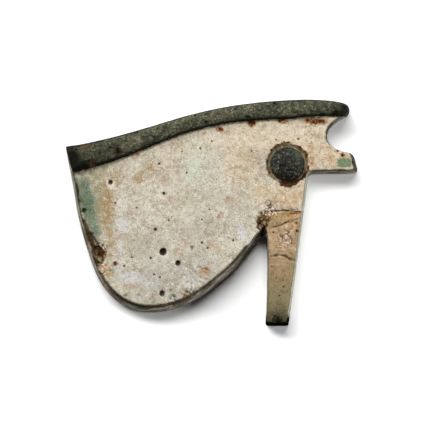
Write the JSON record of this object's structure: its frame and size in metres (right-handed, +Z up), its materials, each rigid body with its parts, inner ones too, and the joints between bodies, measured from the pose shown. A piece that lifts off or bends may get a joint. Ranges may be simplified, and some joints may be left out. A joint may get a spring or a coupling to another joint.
{
  "type": "wedjat eye amulet",
  "caption": "Flat-backed eye-shaped plaque amulet with a drooping leg, a notched corner tab, an applied half-round brow and a domed pupil.",
  "frame": {"origin": "under the middle of the eye's bounding box, on the surface that the flat back lies on", "axes": "+X from the cheek's rounded side to the tab, +Y from the foot of the leg to the brow, +Z up out of the decorated face"},
  "size_m": [0.06, 0.0466, 0.0081],
  "materials": {
    "pale_faience": "worn cream and grey-green glaze on pale faience, with gas pits, ochre and teal stains and dirt",
    "dark_faience": "matt dark olive-grey manganese faience with fine lighter flecks",
    "pupil_glaze": "near-black glaze with a soft shine, greenish at the upper right"
  },
  "bodies": {
    "root": {"eye_plate": "pale_faience", "brow": "dark_faience", "pupil": "pupil_glaze"}
  },
  "joints": []
}
